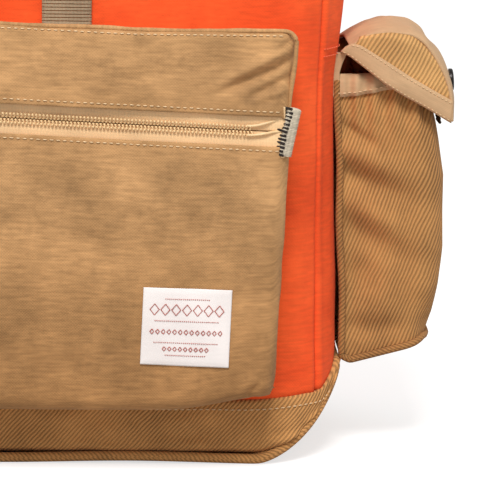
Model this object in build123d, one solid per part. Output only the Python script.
"""Hunting backpack: a stuffed canvas day pack with a lid, a zipped front pocket and two flapped side pockets.

Millimetres. +Z is up, -Y is the front, away from the wearer, and +X is the wearer's right.
The origin is the centre of the flat underside that the pack stands on.
Cloth walls are thicker than one layer, because each stands for the shell cloth, its lining and the seams.
"""

from build123d import *
import math
import os

os.makedirs("parts", exist_ok=True)

# Driving dimensions of the body
body_width = 294.0
body_depth = 170.0
body_height = 462.0
cloth = 2.5
corner_radius = 40.0  # upright corners, seen from above
keel_radius = 60.0  # bottom corners, seen from the front
seam_x = 133.0  # the front and back panels end here, on the corner's curve
boot_top = 38.0  # the twill boot's folded top edge
floor_edge = 26.0  # height at which the floor's cloth meets the boot at the sides
front_y = -body_depth / 2
back_y = body_depth / 2
side_x = body_width / 2

# Front pocket and its zip
pocket_front_y = -126.0
pocket_bottom = 37.0
pocket_top = 234.0
pocket_half_top = 116.0
pocket_half_bottom = 109.0
pocket_cloth = 2.0
pocket_edge_radius = 9.0
zip_z = 185.6  # at the middle
zip_tilt = 2.4  # degrees, falling to the right
zip_half = 103.0
zip_slot = 18.0
coil_gap = 1.3
coil_width = 3.35
coil_height = 2.6
tape_width = 16.0
tape_thickness = 0.8
slider_rest_x = -92.0
label_size = (45.0, 40.0)
label_centre = (62.5, 80.5)
label_tilt = 2.0

# Webbing, buckles and snaps
webbing = 25.4
webbing_thickness = 1.6
buckle_z = 414.0  # mouth of the lower half, where the two halves meet
snap_radius = 6.2

# Side pockets and their flaps
side_pocket_half = 50.0
side_pocket_bottom = 52.0
side_pocket_top = 200.0
hem_height = 12.0
flap_half = 56.5
flap_cloth = 2.5
flap_pivot = (160.3, 216.0)  # x and z of the fold line
flap_root_end = 158.8

# Lid
lid_pivot = (87.5, 454.0)  # y and z of the fold line
lid_strap_pivot = (-97.0, 443.5)  # y and z
lid_side = 151.0
lid_front_y = -92.0
lid_back_y = 88.0
lid_edge = 446.0
lid_inner_top = 464.0
lid_cloth = 3.0

# Harness
pad_width = 56.0
pad_thickness = 10.0
pad_top = (60.0, 90.0, 405.0)
strap_splay = 6.0  # degrees outwards, towards the lower end
haul_pivot = (88.6, 398.0)  # y and z


def block(x, y, z):
    """A box between the two values of each pair."""
    spans = [sorted(pair) for pair in (x, y, z)]
    size = [high - low for low, high in spans]
    middle = [(high + low) / 2 for low, high in spans]
    return Pos(*middle) * Box(*size)


def upright(face, low, high):
    """A flat face drawn at z = 0, run from one height to another."""
    return Pos(0, 0, low) * extrude(face, high - low)


def across(points, half, closed_by=None):
    """An outline in x and z, run along y from -half to half."""
    outline = Polyline(*[(x, 0, z) for x, z in points], close=True)
    return extrude(make_face(outline), half, dir=(0, 1, 0), both=True)


def round_tube(points, corner, radius, closed=False):
    """A round tube along straight runs with one corner radius."""
    path = FilletPolyline(*points, radius=corner, close=closed)
    ring = Plane(path @ 0, z_dir=path % 0) * Circle(radius)
    return sweep(ring, path=path)


def ribbon(path, width, thickness=webbing_thickness):
    """Webbing that follows a path drawn in y and z, centred on x = 0."""
    return extrude(Plane.YZ * trace(path, thickness), width / 2, both=True)


def mirrored(part):
    """The left-hand twin of a right-hand part."""
    return mirror(part, Plane.YZ)


def save(name, part):
    solids = part.solids()
    shape = solids[0] if len(solids) == 1 else Compound(children=list(solids))
    shape.label = name
    export_step(shape, f"parts/{name}.step")


def save_pair(name, part):
    save(f"{name}_right", part)
    save(f"{name}_left", mirrored(part))


# ---------------------------------------------------------------- body


def body_plan(inset, height):
    face = RectangleRounded(body_width - 2 * inset, body_depth - 2 * inset, corner_radius - inset)
    return upright(face, 0, height)


def body_keel(inset, height):
    """The body's outline from the front, with its rounded bottom corners, run through its depth."""
    face = Plane.XZ * Pos(0, (height + inset) / 2) * Rectangle(body_width - 2 * inset, height - inset)
    face = fillet(face.vertices().group_by(Axis.Z)[0], keel_radius - inset)
    return extrude(face, body_depth, dir=(0, 1, 0), both=True)


def body_block():
    return body_plan(0, body_height) & body_keel(0, body_height)


def body_hollow():
    over = body_height + 10
    return body_plan(cloth, over) & body_keel(cloth, over)


def base_panel():
    sheet = body_block() - body_keel(cloth, body_height + 10)
    return sheet & block((-side_x, side_x), (front_y, back_y), (0, floor_edge))


def body_walls():
    return body_block() - body_hollow() - base_panel()


def base_boot():
    return body_walls() & block((-side_x, side_x), (front_y, back_y), (0, boot_top))


def body_panel(x_span, y_span):
    return body_walls() & block(x_span, y_span, (boot_top, body_height))


def base_piping():
    """The covered cord in the seam between the boot and the floor, low in front and higher at the sides."""
    quarter = [(104, -86.8, 3.2), (116, -86, 8), (126.5, -83.5, 14)]
    quarter += [(134, -78.5, 20.5), (138, -69, 26)]
    front = [(-x, y, z) for x, y, z in reversed(quarter)] + quarter
    back = [(x, -y, z) for x, y, z in reversed(front)]
    return round_tube(front + back, 12, 2.5, closed=True) - body_block()


def base_stiffener():
    face = RectangleRounded(164, 150, 18)
    return upright(face, cloth, cloth + 3)


def back_foam():
    return block((-104, 104), (back_y - cloth - 8, back_y - cloth), (66, 436))


def back_lining():
    return block((-104, 104), (back_y - cloth - 9, back_y - cloth - 8), (66, 436))


def mouth_rim():
    """Binding on the outside of the rim."""
    face = RectangleRounded(body_width + 2.4, body_depth + 2.4, corner_radius + 1.2)
    inner = RectangleRounded(body_width, body_depth, corner_radius)
    return upright(face - inner, body_height - 24, body_height)


# ---------------------------------------------------------------- front pocket


def pocket_block(inset):
    top = pocket_half_top - inset
    bottom = pocket_half_bottom - inset
    low = pocket_bottom + inset
    high = pocket_top - inset
    corners = [(-bottom, low), (bottom, low), (top, high), (-top, high)]
    face = make_face(Polyline(*[(x, 0, z) for x, z in corners], close=True))
    face = fillet(face.vertices().group_by(Axis.Z)[0], 16 - inset)
    depth = front_y - pocket_front_y - inset
    solid = Pos(0, front_y, 0) * extrude(face, depth, dir=(0, -1, 0))
    return fillet(solid.edges().group_by(Axis.Y)[0], pocket_edge_radius - inset)


def along_zip(part):
    """Puts a part drawn about the zip's middle, at x = z = 0, on the zip's slanting line."""
    return Pos(0, 0, zip_z) * Rot(0, zip_tilt, 0) * part


def pocket_part(z_span):
    """The shell above or below the zip's line, with its half of the zip's slot."""
    shell = pocket_block(0) - pocket_block(pocket_cloth)
    slot = block((-zip_half, zip_half), (pocket_front_y - 5, front_y - 20), (-zip_slot / 2, zip_slot / 2))
    return (shell & along_zip(block((-200, 200), (-200, 0), z_span))) - along_zip(slot)


def zip_tape(sign):
    inner = sign * 0.9
    y = pocket_front_y + pocket_cloth
    tape_ends = (-zip_half - 0.8, zip_half + 0.8)
    tape = block(tape_ends, (y, y + tape_thickness), (inner, inner + sign * tape_width))
    return along_zip(tape)


def zip_coil(sign):
    inner = sign * coil_gap / 2
    y = pocket_front_y + pocket_cloth
    bar = block((-zip_half, zip_half), (y - coil_height, y), (inner, inner + sign * coil_width))
    return along_zip(fillet(bar.edges().filter_by(Axis.X).group_by(Axis.Y)[0], 1.2))


def zip_end_tabs():
    """Folded webbing sewn over each end of the zip, to hold while it is pulled."""
    x = (zip_half, zip_half + 11)
    tab = block(x, (pocket_front_y - 3, pocket_front_y), (-webbing / 2, webbing / 2))
    tab = fillet(tab.edges().filter_by(Axis.Z).sort_by(Axis.X)[-2:], 1.2)
    right, left = along_zip(tab), along_zip(mirrored(tab))
    return Compound(children=[*right.solids(), *left.solids()])


def slider_frame(part):
    return along_zip(Pos(slider_rest_x, 0, 0) * part)


def zip_slider():
    front = pocket_front_y - 1.0
    top = block((-6.5, 6.5), (front - 1.6, front), (-6, 6))
    top = fillet(top.edges().filter_by(Axis.Y), 2.5)
    bottom = block((-6.5, 6.5), (pocket_front_y + 3.2, pocket_front_y + 4.4), (-5.5, 5.5))
    bridge = block((-2.5, 2.5), (front, pocket_front_y + 3.2), (-0.35, 0.35))
    upper_rail = block((-6, 6), (front, front + 1.8), (4.9, 5.9))
    rails = upper_rail + block((-6, 6), (front, front + 1.8), (-5.9, -4.9))
    crown = block((-4.2, 4.2), (front - 5.0, front - 1.6), (-1.1, 1.1))
    crown -= block((-2.2, 2.2), (front - 4.0, front - 1.6), (-2, 2))
    return slider_frame(top + bottom + bridge + rails + crown)


def zip_pull():
    """Bar through the slider's crown, two cheeks and a flat tongue."""
    y = pull_pivot_y
    bar = Pos(0, y, 0) * Cylinder(0.7, 8)
    cheeks = block((0, 8), (y - 0.6, y + 0.6), (2.6, 4)) + block((0, 8), (y - 0.6, y + 0.6), (-4, -2.6))
    cheeks += Pos(0, y, 3.3) * Cylinder(0.9, 1.4) + Pos(0, y, -3.3) * Cylinder(0.9, 1.4)
    tongue = block((6, 24), (y - 0.6, y + 0.6), (-4, 4))
    tongue = fillet(tongue.edges().filter_by(Axis.Y).sort_by(Axis.X)[-2:], 2)
    tongue -= Pos(20, y, 0) * Rot(90, 0, 0) * Cylinder(1.4, 4)
    return slider_frame(bar + cheeks + tongue)


pull_pivot_y = pocket_front_y - 1.0 - 3.0


def front_label():
    x, z = label_centre
    width, height = label_size
    patch = Box(width, 0.8, height)
    return Pos(x, pocket_front_y - 0.4, z) * Rot(0, label_tilt, 0) * patch


# ---------------------------------------------------------------- side pockets and flaps, right-hand ones


def side_pocket_block(inset, over=0.0):
    """A bellows pocket: rounded seen from above, and swelling below the mouth seen from the front."""
    half = side_pocket_half - inset
    plan = Pos(side_x - 40 + 48 - inset / 2, 0) * RectangleRounded(96 - inset, 2 * half, 26 - inset)
    low = side_pocket_bottom + inset
    high = side_pocket_top + over
    outline = [(side_x, low), (189 - inset, low + 1), (197 - inset, 78), (203 - inset, 118)]
    outline += [(202 - inset, 150), (198 - inset, 176), (191 - inset, side_pocket_top)]
    outline += [(191 - inset, high)] if over else []
    outline += [(side_x, high)]
    return upright(plan, low, high) & across(outline, 60)


def side_pocket():
    return side_pocket_block(0) - side_pocket_block(2.0, over=10)


def side_hem():
    """Binding round the pocket's mouth."""
    grown = side_pocket_block(-1.2)
    hem = grown - side_pocket_block(0, over=10)
    return hem & block((side_x, 225), (-60, 60), (side_pocket_top - hem_height, side_pocket_top))


def side_piping():
    """Covered cord in the pocket's seam on the body."""
    x = side_x + 1.72
    edge = side_pocket_half + 1.72
    low = side_pocket_bottom - 1.72
    seam = [(x, -edge, 186), (x, -edge, low), (x, edge, low), (x, edge, 186)]
    return round_tube(seam, 2.2, 1.7) - side_pocket_block(0)


def snap_stud():
    stud = Pos(0, 0, 0.8) * Cylinder(5, 1.5) + Pos(0, 0, 2.3) * Cylinder(2.2, 1.8)
    return Pos(196.6, 0, 181) * Rot(0, 73.7, 0) * stud


def flap_outline():
    """Outer side of the flap's arch, in x and z."""
    rise = [(161.6, 218.6), (169, 225.5), (179, 229), (190, 226.5)]
    return rise + [(199, 218), (204.5, 206), (206.5, 193), (205.5, 179)]


def flap_arch():
    outer = flap_outline()
    path = Spline(*[(x, 0, z) for x, z in outer])
    inner = [(x, 0, z) for x, z in reversed(flap_inner())]
    ends = [Line(path @ 1, inner[0]), Line(inner[-1], path @ 0)]
    face = make_face([path, ends[0], Spline(*inner), ends[1]])
    return extrude(face, flap_half, dir=(0, 1, 0), both=True)


def flap_inner(thickness=flap_cloth):
    """The outline moved in by the cloth's thickness, towards the pocket."""
    middle = (175.0, 190.0)
    moved = []
    for x, z in flap_outline():
        away = math.hypot(x - middle[0], z - middle[1])
        share = (away - thickness) / away
        moved.append((middle[0] + (x - middle[0]) * share, middle[1] + (z - middle[1]) * share))
    return moved


def flap_wing(y_span):
    """Side of the flap, below the arch, with its slanting lower edge."""
    outline = flap_inner(flap_cloth / 2) + [(163.0, 206.0)]
    face = make_face(Polyline(*[(x, 0, z) for x, z in outline], close=True))
    low, high = sorted(y_span)
    return Pos(0, low, 0) * extrude(face, high - low, dir=(0, 1, 0))


def flap():
    wings = flap_wing((-flap_half, -flap_half + 2)) + flap_wing((flap_half - 2, flap_half))
    return flap_arch() + wings


def flap_binding():
    """Folded strips along the slanting edges of the flap's two sides."""
    strip = across([(162, 205), (203.5, 178.5), (203.5, 188), (162, 214)], flap_half + 1)
    return strip - block((150, 215), (-flap_half, flap_half), (170, 230))


def flap_root():
    """The strip of the flap that is sewn to the body, up to the fold line."""
    low, high = flap_pivot[1] - 1.2, flap_pivot[1] + 1.2
    return block((side_x, flap_root_end), (-flap_half + 4, flap_half - 4), (low, high))


def snap_axis(part):
    return Pos(206.3, 0, 194) * Rot(0, 86, 0) * part


def snap_cap():
    cap = Pos(0, 0, 1.3) * Cylinder(snap_radius, 2.2)
    return snap_axis(fillet(cap.edges().group_by(Axis.Z)[-1], 1.0))


def snap_socket():
    return snap_axis(Pos(0, 0, -flap_cloth - 1.2) * (Cylinder(5, 2.0) - Cylinder(2.8, 2.0)))


# ---------------------------------------------------------------- front straps and buckles


def front_strap():
    """Webbing from the pocket's top edge to the buckle, folded round the buckle's bar."""
    y = front_y - webbing_thickness / 2
    bar_y = y - 3.0
    low = buckle_z - 32
    up = Line((y, pocket_top), (y, low))
    turn = ThreePointArc((y, low), (bar_y, low + 3.0), (bar_y - 3.0, low))
    down = Line((bar_y - 3.0, low), (bar_y - 3.0, low - 18))
    return ribbon([up, turn, down], webbing)


def buckle_female():
    """Lower half: a flat socket with a bar below it for the strap."""
    y = (-96.8, -86.9)
    body = block((-19, 19), y, (buckle_z - 26, buckle_z))
    body = fillet(body.edges().filter_by(Axis.Z), 3)
    body -= block((-14.5, 14.5), (-94.4, -89.3), (buckle_z - 20, buckle_z + 1))
    body -= block((-25, 25), (-94.4, -89.3), (buckle_z - 18, buckle_z - 8))
    arms = block((14, 18), (-91.8, -86.9), (buckle_z - 35, buckle_z - 26))
    arms += block((-18, -14), (-91.8, -86.9), (buckle_z - 35, buckle_z - 26))
    bar = Pos(0, front_y - 3.8, buckle_z - 32) * Rot(0, 90, 0) * Cylinder(1.8, 30)
    return (body + arms + bar)


def buckle_male():
    """Upper half: three prongs, a shoulder and a bar for the lid's strap."""
    y = (-93.6, -90.1)
    prongs = block((-2.5, 2.5), y, (buckle_z - 15, buckle_z + 2))
    for sign in (-1, 1):
        prongs += block((sign * 9.5, sign * 13.4), y, (buckle_z - 17, buckle_z + 2))
    shoulder = block((-18, 18), (-97.4, -89.4), (buckle_z + 1, buckle_z + 7))
    shoulder = fillet(shoulder.edges().filter_by(Axis.Z), 2)
    arms = block((14.2, 18), (-96.6, -90.6), (buckle_z + 7, buckle_z + 15.6))
    arms += block((-18, -14.2), (-96.6, -90.6), (buckle_z + 7, buckle_z + 15.6))
    bar = Pos(0, lid_bar_y, buckle_z + 13) * Rot(0, 90, 0) * Cylinder(1.8, 30)
    return (prongs + shoulder + arms + bar)


lid_bar_y = -93.6


def lid_strap():
    """Short webbing that hangs from the lid's front edge, folded round the upper half's bar."""
    front = lid_bar_y - 3.4
    rear = lid_bar_y + 3.4
    low = buckle_z + 13
    down = Line((front, lid_strap_pivot[1] - 1.4), (front, low))
    turn = ThreePointArc((front, low), (lid_bar_y, low - 3.4), (rear, low))
    up = Line((rear, low), (rear, low + 3))
    return ribbon([down, turn, up], webbing)


def lid_strap_root():
    """The same webbing where it is sewn to the lid's front."""
    y, z = lid_strap_pivot
    patch = block((-webbing / 2, webbing / 2), (y - 0.8, y + 0.8), (z + 1.4, 468))
    return patch + block((-webbing / 2, webbing / 2), (y, lid_front_y - lid_cloth), (lid_edge + 9.2, 468))


# ---------------------------------------------------------------- lid


def lid_block(grow, low, high, radius):
    width = 2 * (lid_side + grow)
    depth = lid_back_y - lid_front_y + 2 * grow
    face = Pos(0, (lid_back_y + lid_front_y) / 2) * RectangleRounded(width, depth, radius)
    return upright(face, low, high)


def lid_back_cut():
    """The skirt is cut shorter round the back, so that it turns on its fold line clear of the body."""
    return block((-200, 200), (45, 120), (lid_edge - 5, lid_pivot[1] + 1.2))


def lid_panel():
    """A cap over the mouth, with a skirt on every side."""
    outer = lid_block(lid_cloth, lid_edge, lid_inner_top + 7, 45)
    outer = fillet(outer.edges().group_by(Axis.Z)[-1], 9)
    return outer - lid_block(0, lid_edge, lid_inner_top, 42) - lid_back_cut()


def lid_binding():
    band = lid_block(lid_cloth + 1, lid_edge, lid_edge + 9, 46)
    return band - lid_block(lid_cloth, lid_edge, lid_edge + 9, 45) - lid_back_cut()


# ---------------------------------------------------------------- harness


def pad_path():
    """Side view of a shoulder strap's padded part, measured from its top."""
    points = [(0, 0), (20, -8), (38, -36), (48, -84), (49, -134), (42, -184), (31, -232), (23.2, -257.0)]
    return Spline(*points)


def harness_frame(part):
    return Pos(*pad_top) * Rot(0, -strap_splay, 0) * part


def shoulder_pad():
    pad = ribbon(pad_path(), pad_width, pad_thickness)
    pad -= block((-40, 40), (-30, 4.5), (-30, 30))
    return harness_frame(pad)


def shoulder_webbing():
    """From the buckle at the padded part's end to the lower corner of the back."""
    run = Line((22.2, -263.2), (1.5, -344))
    return harness_frame(ribbon(run, 20))


def ladder_lock():
    frame = Pos(0, 22.8, -263.5) * Rot(-14, 0, 0)
    plate = block((-16, 16), (-2.5, 2.5), (-9, 5.4))
    plate = fillet(plate.edges().filter_by(Axis.Y), 2)
    plate -= block((-11, 11), (-1.6, 1.6), (-10, 1.0))
    plate -= block((-11, 11), (-4, 4), (-2.0, 0.6)) + block((-11, 11), (-4, 4), (-7.4, -4.6))
    return harness_frame(frame * plate)


def strap_yoke():
    """Twill patch on the back panel that the two shoulder straps are sewn under."""
    patch = block((-98, 98), (back_y, back_y + 1.8), (378, 414))
    return fillet(patch.edges().filter_by(Axis.Y), 8)


def strap_anchor():
    """Triangle of doubled cloth at the lower corner of the back, which holds the webbing."""
    corners = [(76, 46), (106, 46), (106, 82), (84, 82)]
    face = make_face(Polyline(*[(x, 0, z) for x, z in corners], close=True))
    return Pos(0, back_y, 0) * extrude(face, 2.0, dir=(0, 1, 0)) 


def haul_loop():
    """A loop of webbing that hangs from the top of the back panel."""
    y, z = haul_pivot
    left = y + 1.0
    points = [(left, z - 3), (left, z - 40), (left + 18, z - 40), (left + 6, z - 3)]
    path = FilletPolyline(*points, radius=7)
    bar = block((-webbing / 2, webbing / 2), (left - 0.8, left + 7.2), (z - 6, z - 1))
    return ribbon(path, webbing) + bar


# ---------------------------------------------------------------- write the parts

save("front_panel", body_panel((-seam_x, seam_x), (front_y, 0)))
save("back_panel", body_panel((-seam_x, seam_x), (0, back_y)))
save_pair("side_panel", body_panel((seam_x, side_x), (front_y, back_y)))
save("base_boot", base_boot())
save("base_panel", base_panel())
save("base_piping", base_piping())
save("base_stiffener", base_stiffener())
save("back_foam", back_foam())
save("back_lining", back_lining())
save("mouth_rim", mouth_rim())

save("pocket_upper", pocket_part((0, 100)))
save("pocket_lower", pocket_part((-200, 0)))
save("zip_tape_upper", zip_tape(1))
save("zip_tape_lower", zip_tape(-1))
save("zip_coil_upper", zip_coil(1))
save("zip_coil_lower", zip_coil(-1))
save("zip_end_tabs", zip_end_tabs())
save("zip_slider", zip_slider())
save("zip_pull", zip_pull())
save("front_label", front_label())

save_pair("side_pocket", side_pocket())
save_pair("side_hem", side_hem())
save_pair("side_piping", side_piping())
save_pair("flap_root", flap_root())
save_pair("flap", flap())
save_pair("flap_binding", flap_binding())
save_pair("snap_cap", snap_cap())
save_pair("snap_socket", snap_socket())
stud = snap_stud()
save("snap_studs", Compound(children=[*stud.solids(), *mirrored(stud).solids()]))

save("front_strap", front_strap())
save("buckle_female", buckle_female())
save("buckle_male", buckle_male())
save("lid_strap", lid_strap())
save("lid_strap_root", lid_strap_root())
save("lid_panel", lid_panel())
save("lid_binding", lid_binding())

save_pair("shoulder_pad", shoulder_pad())
save_pair("shoulder_webbing", shoulder_webbing())
save_pair("ladder_lock", ladder_lock())
save_pair("strap_anchor", strap_anchor())
save("strap_yoke", strap_yoke())
save("haul_loop", haul_loop())
